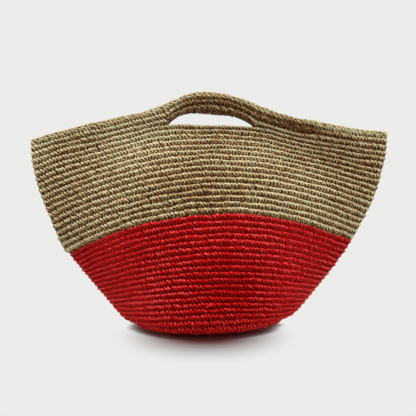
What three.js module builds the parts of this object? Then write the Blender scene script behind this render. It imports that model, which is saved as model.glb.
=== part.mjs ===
// Crocheted raffia handbag: a round flat base, a wall of stacked rounds that flattens towards a
// nearly closed mouth, and a handle slit near the rim of the front and of the rear.
// Millimetres, +Z up, +X along the mouth, -Y to the front. The origin is the middle of the
// underside of the base.
import * as THREE from "three";

// Counts of crochet rounds, from the middle of the base outwards and then up the wall.
const baseRounds = 12;
const redRounds = 19;
const naturalRounds = 16;
const rimRounds = 3;

// The fabric. Each round swells past its seams on both faces.
const wallThickness = 7;
const stitchBulge = 1.2;
const roundGap = 0.3;

// The base lies on its flat middle and curves up to its edge. The folds are the two side edges of
// the flattened wall.
const baseRadius = 94;
const baseFlatRadius = 58;
const baseEdgeRise = 9;
const foldRadius = 6.5;

// Where the raffia changes from red to natural.
const colourHalfWidth = 181;
const colourHalfDepth = 77;
const colourFoldHeight = 106;
const colourFrontHeight = 152;

// The rim, before the handles lift it, and the band of rim rounds from the handle slits up.
const rimHalfWidth = 228.5;
const rimHalfDepth = 13.5;
const rimFoldHeight = 249;
const rimFrontHeight = 284.5;
const rimBandHeight = 23.5;
const rimBandLean = 1.5;

// Half way up each colour, how far the wall bellies off the straight way between its two ends.
const redBelly = { halfWidth: 5, halfDepth: 10, foldHeight: -5.2, frontHeight: -2.7 };
const naturalBelly = { halfWidth: 6.7, halfDepth: 2.6, foldHeight: -2.8, frontHeight: 3.5 };

// The handle slits, and the hump that the rim makes over each.
const slitWidth = 104;
const slitHeight = 19;
const humpTopWidth = 46;
const humpWidth = 184;

// A handle is the stretch of the rim rounds that swings. It stops short of the slit's tips.
const handleSetback = 4;
const handleEndGap = 0.3;

// Facets of a quarter of a round, as shares of its run from the front centre to the side fold.
const columnShares = [0, 0.22, 0.44, 0.66, 0.86, 0.957, 0.98, 1];

// Facets of a handle, and of the rim from a slit's tip on to the rim's own column there, as shares.
const handleFacets = 8;
const tipShares = [0, 0.12, 0.36, 0.68];
const tipColumn = 2;

const natural = { color: 0xa2905f, roughness: 0.86, metalness: 0 };
const red = { color: 0xb01a20, roughness: 0.78, metalness: 0 };

const handleLength = slitWidth - 2 * handleSetback;
const seamHalfThickness = wallThickness / 2 - stitchBulge;
const layHeight = wallThickness / 2;
const baseEdgeHeight = layHeight + baseEdgeRise;
const slitLevel = redRounds + naturalRounds;
const rimLevel = slitLevel + rimRounds;
const quarterColumns = columnShares.length - 1;
const columnCount = 4 * quarterColumns;
const smallStep = 1e-3;

// Each level says where the wall's middle surface is after a round: how far the fold and the front
// centre lie from the middle of the bag, how high each of them is, and the power of the curve on
// which the seam sags from the centre to the fold. At first the wall turns up from the base.
const baseLevel = {
  round: 0,
  halfWidth: baseRadius,
  halfDepth: baseRadius,
  foldHeight: baseEdgeHeight,
  frontHeight: baseEdgeHeight,
  sagPower: 2,
};

const turningLevels = [
  {
    round: 1,
    halfWidth: baseRadius + 7.6,
    halfDepth: baseRadius + 6.4,
    foldHeight: baseEdgeHeight + 1.8,
    frontHeight: baseEdgeHeight + 4,
    sagPower: 2,
  },
  {
    round: 2,
    halfWidth: baseRadius + 14.6,
    halfDepth: baseRadius + 9,
    foldHeight: baseEdgeHeight + 5,
    frontHeight: baseEdgeHeight + 11.3,
    sagPower: 2,
  },
  {
    round: 3,
    halfWidth: baseRadius + 20.3,
    halfDepth: baseRadius + 9.3,
    foldHeight: baseEdgeHeight + 9.6,
    frontHeight: baseEdgeHeight + 18.8,
    sagPower: 2,
  },
];

const colourLevel = {
  round: redRounds,
  halfWidth: colourHalfWidth,
  halfDepth: colourHalfDepth,
  foldHeight: colourFoldHeight,
  frontHeight: colourFrontHeight,
  sagPower: 2,
};

const rimTopLevel = {
  round: rimLevel,
  halfWidth: rimHalfWidth,
  halfDepth: rimHalfDepth,
  foldHeight: rimFoldHeight,
  frontHeight: rimFrontHeight,
  sagPower: 1.5,
};

const slitSeamLevel = {
  round: slitLevel,
  halfWidth: rimHalfWidth - rimBandLean,
  halfDepth: rimHalfDepth + rimBandLean,
  foldHeight: rimFoldHeight - rimBandHeight,
  frontHeight: rimFrontHeight - rimBandHeight,
  sagPower: 1.6,
};

const levelFields = ["halfWidth", "halfDepth", "foldHeight", "frontHeight", "sagPower"];

// The level half way between two others, off the straight way between them by the belly.
function middleLevel(below, above, belly) {
  const level = { round: (below.round + above.round) / 2 };
  for (const field of levelFields) {
    level[field] = (below[field] + above[field]) / 2 + (belly[field] ?? 0);
  }
  return level;
}

const levels = [
  baseLevel,
  ...turningLevels,
  middleLevel(baseLevel, colourLevel, redBelly),
  colourLevel,
  middleLevel(colourLevel, slitSeamLevel, naturalBelly),
  slitSeamLevel,
  rimTopLevel,
];

const levelCurve = new THREE.CubicInterpolant(
  levels.map((level) => level.round),
  levels.flatMap((level) => levelFields.map((field) => level[field])),
  levelFields.length,
);

function levelAt(round) {
  const values = levelCurve.evaluate(round);
  return Object.fromEntries(levelFields.map((field, index) => [field, values[index]]));
}

// From above, a level is two arcs that meet in a rounded fold at each side. On the base they make
// a circle. This is a quarter of it, x to the fold and y outwards, with the way that it runs there.
function quarterOutline(level, share) {
  const reach = level.halfWidth - foldRadius;
  const swell = Math.min(level.halfDepth - foldRadius, reach);
  const arcAngle = 2 * Math.atan(swell / reach);
  const arcRadius = reach / Math.sin(arcAngle);
  const arcRun = arcAngle * (arcRadius + foldRadius);
  const foldRun = (Math.PI / 2 - arcAngle) * foldRadius;
  const run = share * (arcRun + foldRun);
  if (run <= arcRun) {
    const angle = run / (arcRadius + foldRadius);
    const x = (arcRadius + foldRadius) * Math.sin(angle);
    const y = (arcRadius + foldRadius) * Math.cos(angle) - arcRadius + swell;
    return { x, y, angle };
  }
  const angle = arcAngle + (run - arcRun) / foldRadius;
  return { x: reach + foldRadius * Math.sin(angle), y: foldRadius * Math.cos(angle), angle };
}

// Seams sag from the front centre down to the folds.
function seamHeight(level, x) {
  const rise = level.frontHeight - level.foldHeight;
  return level.foldHeight + rise * (1 - Math.min(x / level.halfWidth, 1) ** level.sagPower);
}

function seamSlope(level, x) {
  const rise = level.frontHeight - level.foldHeight;
  const steepness = (x / level.halfWidth) ** (level.sagPower - 1);
  return (-rise * level.sagPower * steepness) / level.halfWidth;
}

function quarterPoint(round, share) {
  const level = levelAt(round);
  const { x, y } = quarterOutline(level, share);
  return new THREE.Vector3(x, y, seamHeight(level, x));
}

// A point of the middle surface, with the directions out of the wall and up it, square to the seam.
function quarterFrame(round, share) {
  const level = levelAt(round);
  const { x, angle } = quarterOutline(level, share);
  const climbAlong = seamSlope(level, x) * Math.cos(angle);
  const along = new THREE.Vector3(Math.cos(angle), -Math.sin(angle), climbAlong);
  along.normalize();
  const above = quarterPoint(Math.min(round + smallStep, rimLevel), share);
  const below = quarterPoint(Math.max(round - smallStep, 0), share);
  const climb = above.sub(below).normalize();
  const out = climb.cross(along).normalize();
  const up = new THREE.Vector3().crossVectors(along, out).normalize();
  return { point: quarterPoint(round, share), out, up };
}

// Columns run round the bag from the front centre past the right fold, the rear and the left fold.
function columnPlace(column) {
  const quarter = Math.floor(column / quarterColumns) % 4;
  const step = column % quarterColumns;
  const share = columnShares[quarter % 2 === 0 ? step : quarterColumns - step];
  const mirror = new THREE.Vector3(quarter < 2 ? 1 : -1, quarter === 0 || quarter === 3 ? -1 : 1, 1);
  return { share, mirror };
}

function wallFrame(round, column) {
  const { share, mirror } = columnPlace(column % columnCount);
  const frame = quarterFrame(round, share);
  frame.point.multiply(mirror);
  frame.out.multiply(mirror);
  frame.up.multiply(mirror);
  return frame;
}

// The frame at a given x between two columns, on the straight facet that joins them.
function facetFrame(round, x, rear) {
  let step = 0;
  while (quarterPoint(round, columnShares[step + 1]).x < Math.abs(x)) {
    step += 1;
  }
  const near = quarterFrame(round, columnShares[step]);
  const far = quarterFrame(round, columnShares[step + 1]);
  const share = (Math.abs(x) - near.point.x) / (far.point.x - near.point.x);
  const mirror = new THREE.Vector3(Math.sign(x) || 1, rear ? 1 : -1, 1);
  return {
    point: near.point.lerp(far.point, share).multiply(mirror),
    out: near.out.lerp(far.out, share).normalize().multiply(mirror),
    up: near.up.lerp(far.up, share).normalize().multiply(mirror),
  };
}

// How far the handle lifts the rim rounds: a half ellipse over the slit, and a wider soft hump
// along the rim itself.
function handleLift(round, x) {
  const slitShare = Math.min(Math.abs(x) / (slitWidth / 2), 1);
  const overSlit = Math.sqrt(1 - slitShare ** 2);
  const overRim = 1 - THREE.MathUtils.smoothstep(Math.abs(x), humpTopWidth / 2, humpWidth / 2);
  const share = (round - slitLevel) / rimRounds;
  return slitHeight * THREE.MathUtils.lerp(overSlit, overRim, share);
}

function liftedFrame(round, frame) {
  frame.point.z += handleLift(round, frame.point.x);
  frame.up.set(0, 0, 1);
  return frame;
}

function offset(frame, outwards, upwards) {
  return frame.point
    .clone()
    .addScaledVector(frame.out, outwards)
    .addScaledVector(frame.up, upwards);
}

// A round cut across: flat seams below and above, and a crest on each face of the wall. The upper
// seam starts at the corner of this number.
const roundUpperSeam = 3;

function roundSection(lower, middle, upper) {
  return [
    offset(lower, -seamHalfThickness, roundGap / 2),
    offset(lower, seamHalfThickness, roundGap / 2),
    offset(middle, wallThickness / 2, 0),
    offset(upper, seamHalfThickness, -roundGap / 2),
    offset(upper, -seamHalfThickness, -roundGap / 2),
    offset(middle, -wallThickness / 2, 0),
  ];
}

function addTriangle(positions, a, b, c) {
  const flat = a.equals(b) || b.equals(c) || c.equals(a);
  if (!flat) {
    positions.push(...a, ...b, ...c);
  }
}

// Each facet is split along a diagonal. Strips from the upper seam on lean back, and those before
// it lean forwards, so that two faces that meet at a seam are split alike and stay parallel.
function addStrip(positions, near, far, from, to, leansBack) {
  const corners = [near[from], near[to], far[to], far[from]];
  const [a, b, c, d] = leansBack ? corners : [...corners.slice(1), corners[0]];
  addTriangle(positions, a, b, c);
  addTriangle(positions, a, c, d);
}

function addEnd(positions, section, facesBack) {
  for (let corner = 1; corner < section.length - 1; corner += 1) {
    const [b, c] = facesBack ? [corner + 1, corner] : [corner, corner + 1];
    addTriangle(positions, section[0], section[b], section[c]);
  }
}

function skinSections(sections, closed, upperSeam) {
  const positions = [];
  const corners = sections[0].length;
  const spans = closed ? sections.length : sections.length - 1;
  for (let span = 0; span < spans; span += 1) {
    const near = sections[span];
    const far = sections[(span + 1) % sections.length];
    for (let corner = 0; corner < corners; corner += 1) {
      const next = (corner + 1) % corners;
      addStrip(positions, near, far, next, corner, corner >= upperSeam);
    }
  }
  if (!closed) {
    addEnd(positions, sections[0], false);
    addEnd(positions, sections.at(-1), true);
  }
  const geometry = new THREE.BufferGeometry();
  geometry.setAttribute("position", new THREE.Float32BufferAttribute(positions, 3));
  geometry.computeVertexNormals();
  return geometry;
}

// How far the base has curved up at this radius.
function baseRise(radius) {
  const share = Math.max(radius - baseFlatRadius, 0) / (baseRadius - baseFlatRadius);
  return baseEdgeRise * share ** 2;
}

// The base is crocheted in the round too: smooth below, with a rib for each round inside. Its edge
// is cut to the lower seam of the first round of the wall.
function baseGeometry() {
  const ribWidth = baseRadius / baseRounds;
  const ribs = [];
  for (let rib = baseRounds; rib > 1; rib -= 1) {
    ribs.push([(rib - 0.5) * ribWidth, wallThickness]);
    ribs.push([(rib - 1) * ribWidth, wallThickness - stitchBulge]);
  }
  ribs.push([ribWidth / 2, wallThickness], [0, wallThickness - stitchBulge]);
  const underside = [[0, 0]];
  for (const share of [0, 0.3, 0.6, 0.9]) {
    underside.push([THREE.MathUtils.lerp(baseFlatRadius, baseRadius, share), 0]);
  }
  const sections = [];
  for (let column = 0; column < columnCount; column += 1) {
    const frame = wallFrame(0, column);
    const ray = new THREE.Vector3(frame.point.x, frame.point.y, 0).normalize();
    const place = ([radius, height]) =>
      ray.clone().multiplyScalar(radius).setZ(height + baseRise(radius));
    sections.push([
      ...underside.map(place),
      offset(frame, seamHalfThickness, -roundGap / 2),
      offset(frame, -seamHalfThickness, -roundGap / 2),
      ...ribs.map(place),
    ]);
  }
  return skinSections(sections, true, underside.length);
}

function wallRoundGeometry(round) {
  const sections = [];
  for (let column = 0; column < columnCount; column += 1) {
    const lower = wallFrame(round - 1, column);
    const middle = wallFrame(round - 0.5, column);
    const upper = wallFrame(round, column);
    sections.push(roundSection(lower, middle, upper));
  }
  return skinSections(sections, true, roundUpperSeam);
}

function rimSection(round, place) {
  const lower = liftedFrame(round - 1, place(round - 1));
  const middle = liftedFrame(round - 0.5, place(round - 0.5));
  const upper = liftedFrame(round, place(round));
  return roundSection(lower, middle, upper);
}

// The swinging stretch of a rim round, over the slit of the front or of the rear.
function handleRoundGeometry(round, rear) {
  const endX = (handleLength - handleEndGap) / 2;
  const sections = [];
  for (let facet = 0; facet <= handleFacets; facet += 1) {
    const x = THREE.MathUtils.lerp(-endX, endX, facet / handleFacets);
    const along = rear ? -x : x;
    sections.push(rimSection(round, (level) => facetFrame(level, along, rear)));
  }
  return skinSections(sections, false, roundUpperSeam);
}

// The rest of a rim round: from one handle round a side fold to the other handle. On the left it
// starts at the rear, so that both sides run the same way round.
function sideRoundGeometry(round, side) {
  const endX = (handleLength + handleEndGap) / 2;
  const tipX = slitWidth / 2;
  const columnX = quarterPoint(slitLevel, columnShares[tipColumn]).x;
  const nearTip = tipShares.map((share) => THREE.MathUtils.lerp(tipX, columnX, share));
  const tipXs = [endX, tipX - handleSetback / 2, ...nearTip];
  const startsAtRear = side < 0;
  const firstColumn = startsAtRear ? 2 * quarterColumns : 0;
  const sections = [];
  for (const x of tipXs) {
    sections.push(rimSection(round, (level) => facetFrame(level, side * x, startsAtRear)));
  }
  for (let column = tipColumn; column <= 2 * quarterColumns - tipColumn; column += 1) {
    sections.push(rimSection(round, (level) => wallFrame(level, firstColumn + column)));
  }
  for (const x of tipXs.toReversed()) {
    sections.push(rimSection(round, (level) => facetFrame(level, side * x, !startsAtRear)));
  }
  return skinSections(sections, false, roundUpperSeam);
}

function addPiece(group, name, geometry, look) {
  const mesh = new THREE.Mesh(geometry, new THREE.MeshStandardMaterial(look));
  mesh.name = name;
  group.add(mesh);
}

const handbag = new THREE.Group();

addPiece(handbag, "base_disc", baseGeometry(), red);

for (let count = 1; count <= redRounds; count += 1) {
  const name = `red_round_${String(count).padStart(2, "0")}`;
  addPiece(handbag, name, wallRoundGeometry(count), red);
}

for (let count = 1; count <= naturalRounds; count += 1) {
  const name = `natural_round_${String(count).padStart(2, "0")}`;
  addPiece(handbag, name, wallRoundGeometry(redRounds + count), natural);
}

for (let count = 1; count <= rimRounds; count += 1) {
  const round = slitLevel + count;
  addPiece(handbag, `right_rim_round_${count}`, sideRoundGeometry(round, 1), natural);
  addPiece(handbag, `left_rim_round_${count}`, sideRoundGeometry(round, -1), natural);
}

const frontHandle = new THREE.Group();
const rearHandle = new THREE.Group();
for (let count = 1; count <= rimRounds; count += 1) {
  const round = slitLevel + count;
  addPiece(frontHandle, `front_handle_round_${count}`, handleRoundGeometry(round, false), natural);
  addPiece(rearHandle, `rear_handle_round_${count}`, handleRoundGeometry(round, true), natural);
}
handbag.add(frontHandle, rearHandle);

export default handbag;
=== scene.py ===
import math

import bpy
import numpy as np
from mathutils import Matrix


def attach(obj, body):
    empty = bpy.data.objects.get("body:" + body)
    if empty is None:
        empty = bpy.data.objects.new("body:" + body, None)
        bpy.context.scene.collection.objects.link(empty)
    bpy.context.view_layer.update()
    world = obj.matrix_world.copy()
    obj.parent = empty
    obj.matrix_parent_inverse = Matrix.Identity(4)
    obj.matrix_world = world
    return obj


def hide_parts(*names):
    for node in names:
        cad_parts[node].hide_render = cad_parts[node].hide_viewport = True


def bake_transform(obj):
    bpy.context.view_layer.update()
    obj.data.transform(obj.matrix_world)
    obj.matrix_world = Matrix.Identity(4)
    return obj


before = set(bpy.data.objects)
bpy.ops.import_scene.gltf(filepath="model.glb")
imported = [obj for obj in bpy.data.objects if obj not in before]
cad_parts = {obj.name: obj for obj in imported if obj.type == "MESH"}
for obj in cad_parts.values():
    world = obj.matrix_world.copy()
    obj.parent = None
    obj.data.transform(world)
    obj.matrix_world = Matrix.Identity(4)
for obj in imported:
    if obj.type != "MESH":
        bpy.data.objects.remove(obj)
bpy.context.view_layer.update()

# Millimetres here, metres in Blender.
MM = 0.001

# The base and each round draw their own random numbers.
SEED = 7
WALL_SEED = SEED + 100
RIM_SEED = SEED + 200

# way says where a point is round the bag: 0 is the middle of the front, 1 the right side fold,
# 2 the middle of the rear, 3 the left side fold and 4 the front again.
FRONT = 0
REAR = 2
WHOLE_WAY = 4

# turn says where a point is among the rounds of crochet: 0 is the edge of the base, and a round
# ends at the turn with its own number. The numbers of rounds are as in the CAD model.
BASE_ROUNDS = 12
RED_ROUNDS = 19
NATURAL_ROUNDS = 16
RIM_ROUNDS = 3
SLIT_ROUND = RED_ROUNDS + NATURAL_ROUNDS
RIM_ROUND = SLIT_ROUND + RIM_ROUNDS

# Sizes as in the CAD model.
WALL_THICKNESS = 7.0
BASE_RADIUS = 94.0
BASE_FLAT_RADIUS = 58.0
BASE_EDGE_RISE = 9.0
LAY_HEIGHT = WALL_THICKNESS / 2
BASE_EDGE_HEIGHT = LAY_HEIGHT + BASE_EDGE_RISE
FOLD_RADIUS = 6.5
SLIT_HALF_WIDTH = 52.0
SLIT_HEIGHT = 19.0
STITCH_WIDTH = 4.3
ROUND_HEIGHT = 8.0


def smoothstep(value, low, high):
    """0 up to low, growing smoothly to 1 at high."""
    share = np.clip((value - low) / (high - low), 0, 1)
    return share * share * (3 - 2 * share)


def fall(value, low, high):
    """1 up to low, falling smoothly to 0 at high."""
    return 1 - smoothstep(value, low, high)


def hill(value, middle, reach):
    """1 in the middle, falling smoothly to 0 at reach from it."""
    return fall(np.abs(value - middle), 0, reach)


def unit(vectors):
    return vectors / np.linalg.norm(vectors, axis=-1, keepdims=True)


def steps_along(points):
    """How far apart the neighbouring points of a line are."""
    return np.linalg.norm(np.diff(points, axis=0), axis=1)


def run_along(points):
    """How far along a line each of its points is."""
    return np.concatenate([[0], np.cumsum(steps_along(points))])


class Form:
    """A broad area of the wall that stands out, as a bulge, or differs in tone, as painted light
    and shade, most so in its middle.
    """

    def __init__(self, x, turn, reach, turn_reach, height):
        self.x = x
        self.turn = turn
        self.reach = reach
        self.turn_reach = turn_reach
        self.height = height

    def at(self, x, turn):
        return self.height * hill(x, self.x, self.reach) * hill(turn, self.turn, self.turn_reach)


def over_all(forms, x, turn):
    return sum(form.at(x, turn) for form in forms)


# Bulges and dents, in millimetres.
BULGES = [
    Form(-75, 26.7, 60, 6.5, 4.5),
    Form(81, 23.5, 55, 6.5, 4.5),
    Form(152, 31, 50, 5, -3.5),
    Form(112, 12, 24, 7, -3.5),
]

# Painted light and shade: where the yarn is painted lighter or darker than elsewhere, as a share
# of its whole range of tones.
PAINTED_LIGHT_AND_SHADE = [
    Form(-90, 34, 85, 9, 0.27),
    Form(-110, 25, 60, 5, 0.08),
    Form(-20, 24, 95, 5, -0.16),
    Form(-5, 21, 65, 4, -0.14),
    Form(85, 21, 60, 5, 0.06),
    Form(60, 30, 60, 5, 0.14),
    Form(165, 33, 75, 8, -0.2),
    Form(105, 38, 50, 4, -0.22),
    Form(-225, 36, 40, 6, 0.2),
    Form(175, 38.3, 95, 1.4, 0.26),
    Form(120, 36.6, 85, 0.9, -0.2),
    Form(125, 25, 50, 5, 0.1),
    Form(70, 15, 75, 5, 0.1),
    Form(20, 8, 65, 10, -0.32),
    Form(120, 11, 55, 9, 0.12),
    Form(-85, 6, 60, 9, 0.24),
    Form(0, -1, 150, 4, 0.04),
]


def level(turn, half_width, half_depth, fold_height, front_height, sag_power):
    """Where the wall's middle surface is after a round, as in the CAD model."""
    return [turn, half_width, half_depth, fold_height, front_height, sag_power]


LEVELS = np.array(
    [
        level(0, BASE_RADIUS, BASE_RADIUS, BASE_EDGE_HEIGHT, BASE_EDGE_HEIGHT, 2),
        level(1, 101.6, 100.4, 14.3, 16.5, 2),
        level(2, 108.6, 103.0, 17.5, 23.8, 2),
        level(3, 114.3, 103.3, 22.1, 31.3, 2),
        level(RED_ROUNDS / 2, 142.5, 95.5, 54.0, 79.5, 2),
        level(RED_ROUNDS, 181.0, 77.0, 106.0, 152.0, 2),
        level(RED_ROUNDS + NATURAL_ROUNDS / 2, 210.7, 48.6, 163.0, 210.0, 1.8),
        level(SLIT_ROUND, 227.0, 15.0, 225.5, 261.0, 1.6),
        level(RIM_ROUND, 228.5, 13.5, 249.0, 284.5, 1.5),
    ]
)


def level_at(turn):
    """The levels' numbers between two levels, on the CAD model's cubic curve."""
    times = LEVELS[:, 0]
    values = LEVELS[:, 1:]
    turn = np.clip(turn, 0, RIM_ROUND)
    after = np.clip(np.searchsorted(times, turn, side="right"), 1, len(times) - 1)
    before = after - 1
    span = times[after] - times[before]
    share = (turn - times[before]) / span
    previous = np.where(before > 0, before - 1, after)
    following = np.where(after < len(times) - 1, np.minimum(after + 1, len(times) - 1), before)
    weight_previous = span / 2 / (times[before] - times[previous])
    weight_following = span / 2 / (times[following] - times[after])
    square = share**2
    cube = share**3
    of_before = (
        (1 + weight_previous) * cube
        - (1.5 + 2 * weight_previous) * square
        + (weight_previous - 0.5) * share
        + 1
    )
    of_after = -(1 + weight_following) * cube + (1.5 + weight_following) * square + 0.5 * share
    parts = (
        (previous, -weight_previous * (cube - 2 * square + share)),
        (before, of_before),
        (after, of_after),
        (following, weight_following * (cube - square)),
    )
    return sum(weight[..., None] * values[index] for index, weight in parts)


def quarter_outline(half_width, half_depth, share):
    """A quarter of a round from above: an arc that meets the rounded side fold."""
    reach = half_width - FOLD_RADIUS
    swell = np.minimum(half_depth - FOLD_RADIUS, reach)
    arc_angle = 2 * np.arctan(swell / reach)
    arc_radius = reach / np.sin(arc_angle)
    outer_radius = arc_radius + FOLD_RADIUS
    arc_run = arc_angle * outer_radius
    run = share * (arc_run + (np.pi / 2 - arc_angle) * FOLD_RADIUS)
    on_arc = run <= arc_run
    angle = np.where(on_arc, run / outer_radius, arc_angle + (run - arc_run) / FOLD_RADIUS)
    x = np.where(on_arc, outer_radius * np.sin(angle), reach + FOLD_RADIUS * np.sin(angle))
    arc_y = outer_radius * np.cos(angle) - arc_radius + swell
    y = np.where(on_arc, arc_y, FOLD_RADIUS * np.cos(angle))
    return x, y


# The bag isn't quite even, as the sizes from here to the surface say, in millimetres. A RANGE is
# where something grows or falls, and a HILL is its middle and its reach: in millimetres to the
# right of the bag's middle, to the left where the name says LEFT, or in turns where it says TURN.

# The handle's lower edge is steep on the left and longer on the right.
ARCH_MIDDLE = 3.5
ARCH_HALF_WIDTH = 57.0
ARCH_LEFT_POWERS = (2.9, 0.72)
ARCH_RIGHT_POWERS = (2.2, 0.8)


def arch(share, side_power, top_power):
    """An arch that is 1 in its middle, where share is 0, and 0 where share is -1 or 1."""
    return (1 - np.abs(share) ** side_power) ** top_power


def slit_arch(x):
    """The handle's lower edge over the slit, 0 at its feet and 1 in its middle."""
    share = np.clip((x - ARCH_MIDDLE) / ARCH_HALF_WIDTH, -1, 1)
    return np.where(share < 0, arch(share, *ARCH_LEFT_POWERS), arch(share, *ARCH_RIGHT_POWERS))


HUMP_LEFT_RANGE = (14, 88)
HUMP_RIGHT_RANGE = (6, 92)


def rim_hump(x):
    """The rim's own hump over the handle, with a longer slope on the right."""
    return np.where(x < 0, fall(-x, *HUMP_LEFT_RANGE), fall(x, *HUMP_RIGHT_RANGE))


# The middle of the handle's lower edge sags, and the rim above it is flattened.
ARCH_SAG = 3.6
ARCH_SAG_HILL = (12, 34)
ARCH_SAG_TURNS = 0.9
CROWN_DROP = 1.4
CROWN_HILL = (12, 50)


def handle_lift(turn, x):
    """How far the handle lifts the rim rounds."""
    share = np.clip((turn - SLIT_ROUND) / RIM_ROUNDS, 0, 1)
    lift = SLIT_HEIGHT * (slit_arch(x) * (1 - share) + rim_hump(x) * share)
    flattened = CROWN_DROP * hill(x, *CROWN_HILL) * share
    sag = ARCH_SAG * hill(x, *ARCH_SAG_HILL)
    return lift - flattened - sag * fall(turn, SLIT_ROUND, SLIT_ROUND + ARCH_SAG_TURNS)


LEFT_RISE = 2.3
LEFT_RISE_RANGE = (50, 80)
LEFT_RISE_END_RANGE = (85, 150)
FRONT_DIP = 5.8
REAR_DIP = 3.6
DIP_RANGE = (65, 120)
DIP_END_RANGE = (185, 228)
CORNER_DROP = 2.2
CORNER_RANGE = (190, 225)
RIM_SWAY_TURN_RANGE = (24, 37)


def rim_sway(turn, x, depth_side):
    """How the rim stands higher on the left, dips on the right and drops at the mouth corners."""
    left = LEFT_RISE * smoothstep(-x, *LEFT_RISE_RANGE) * fall(-x, *LEFT_RISE_END_RANGE)
    right = smoothstep(x, *DIP_RANGE) * fall(x, *DIP_END_RANGE)
    corners = CORNER_DROP * smoothstep(np.abs(x), *CORNER_RANGE)
    sway = left - right * np.where(depth_side < 0, FRONT_DIP, REAR_DIP) - corners
    return sway * smoothstep(turn, *RIM_SWAY_TURN_RANGE)


SLIT_SWAY = 5.2
SLIT_SWAY_HILL = (-50, 50)
SLIT_SWELL = 0.8
SLIT_SWELL_HILL = (20, 60)
SLIT_SWAY_START_TURN = 28


def slit_sway(turn, x):
    """How the slit's lower edge rises, most of all towards its left end."""
    below_slit = smoothstep(turn, SLIT_SWAY_START_TURN, SLIT_ROUND)
    near_slit = below_slit * fall(turn, SLIT_ROUND, RIM_ROUND)
    left = SLIT_SWAY * hill(x, *SLIT_SWAY_HILL)
    return near_slit * (left + SLIT_SWELL * hill(x, *SLIT_SWELL_HILL))


HANDLE_CURL = 6.5
HANDLE_CURL_TURNS = 0.8


def handle_curl(turn, x):
    """How far the handle's lower edge curls in over the slit."""
    over_slit = hill(x, ARCH_MIDDLE, ARCH_HALF_WIDTH)
    return HANDLE_CURL * over_slit * fall(turn, SLIT_ROUND, SLIT_ROUND + HANDLE_CURL_TURNS)


LEFT_BULGE = 4.0
LEFT_BULGE_RANGE = (110, 185)
LEFT_BULGE_TURN = RED_ROUNDS + 0.8
LEFT_BULGE_TURN_REACH = 7


def fold_bulge(turn, x):
    """How far the first natural rounds stand out at the left fold."""
    at_fold = LEFT_BULGE * smoothstep(-x, *LEFT_BULGE_RANGE)
    on_natural = smoothstep(turn, RED_ROUNDS, LEFT_BULGE_TURN)
    return at_fold * on_natural * hill(turn, LEFT_BULGE_TURN, LEFT_BULGE_TURN_REACH)


FRONT_DROP = 2.4
FRONT_DROP_HILL = (-60, 160)
FRONT_DROP_TURN_HILL = (RED_ROUNDS, 13)
LEFT_DROP = 2.5
LEFT_DROP_RANGE = (110, 180)
LEFT_DROP_TURN_HILL = (RED_ROUNDS + 0.5, 6)


def colour_change_drop(turn, x):
    """How much lower the rounds near the change of colour are, in the middle and on the left."""
    middle = FRONT_DROP * hill(x, *FRONT_DROP_HILL) * hill(turn, *FRONT_DROP_TURN_HILL)
    left = LEFT_DROP * smoothstep(-x, *LEFT_DROP_RANGE) * hill(turn, *LEFT_DROP_TURN_HILL)
    return middle + left


EDGE_LIFT = 4.2
EDGE_LIFT_HILL = (32, 120)
EDGE_LIFT_TURN_HILL = (0, 6)


def edge_lift(turn, x, depth_side):
    """How much higher the base's edge curves up in front."""
    lift = EDGE_LIFT * hill(x, *EDGE_LIFT_HILL) * hill(turn, *EDGE_LIFT_TURN_HILL)
    return lift * (depth_side < 0)


RIM_FLARE = 6.0
RIM_FLARE_LEFT_RANGE = (55, 100)
RIGHT_FLARE = 6.0
RIGHT_FLARE_HILL = (140, 80)
RIGHT_FLARE_START_TURN = 31
FLARE_POWER = 3


def rim_flare(turn, x, share):
    """How far the rim leans outwards over the slits, and more so to the right of them. It doesn't
    at the side folds, where share is 1."""
    rim = smoothstep(turn, SLIT_ROUND - 1, RIM_ROUND)
    upper_wall = smoothstep(turn, RIGHT_FLARE_START_TURN, RIM_ROUND)
    over_slit = RIM_FLARE * fall(-x, *RIM_FLARE_LEFT_RANGE) * rim
    right = RIGHT_FLARE * hill(x, *RIGHT_FLARE_HILL) * upper_wall
    return (over_slit + right) * (1 - share**FLARE_POWER)


# Half way up the wall its rounds lean up to the right, by up to this share of a round.
ROUND_LEAN = 0.55
LEAN_TURN_HILL = (RED_ROUNDS, RED_ROUNDS)

# Above the flat of the base, everything lies a little higher on the right.
TILT = 0.02
FULL_TILT_HEIGHT = BASE_EDGE_HEIGHT + 4


def quarter_of(way):
    """Three numbers for a way: how near the side fold is, from 0 in the middle of a face to 1,
    then 1 on the right or -1 on the left, then 1 at the rear or -1 in front."""
    way = np.mod(way, WHOLE_WAY)
    quarter = np.floor(way).astype(int)
    share = np.where(quarter % 2 == 0, way - quarter, 1 - (way - quarter))
    side = np.where(quarter < 2, 1.0, -1.0)
    depth_side = np.where((quarter == 0) | (quarter == 3), -1.0, 1.0)
    return share, side, depth_side


def even_surface(turn, share, side, depth_side):
    """The CAD model's surface, but with the lean of the rounds."""
    on_wall = np.maximum(turn, 0)
    lean = side * hill(on_wall, *LEAN_TURN_HILL) * ROUND_LEAN * share
    numbers = level_at(np.clip(on_wall + lean, 0, RIM_ROUND))
    half_width, half_depth, fold_height, front_height, sag_power = np.moveaxis(numbers, -1, 0)
    x, y = quarter_outline(half_width, half_depth, share)
    sag = 1 - np.minimum(x / half_width, 1) ** sag_power
    z = fold_height + (front_height - fold_height) * sag
    shrink = 1 + np.minimum(turn, 0) / BASE_ROUNDS
    past_flat = np.maximum(BASE_RADIUS * shrink - BASE_FLAT_RADIUS, 0)
    curl = past_flat / (BASE_RADIUS - BASE_FLAT_RADIUS)
    z = np.where(turn < 0, LAY_HEIGHT + BASE_EDGE_RISE * curl**2, z)
    return side * x * shrink, depth_side * y * shrink, z


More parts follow.
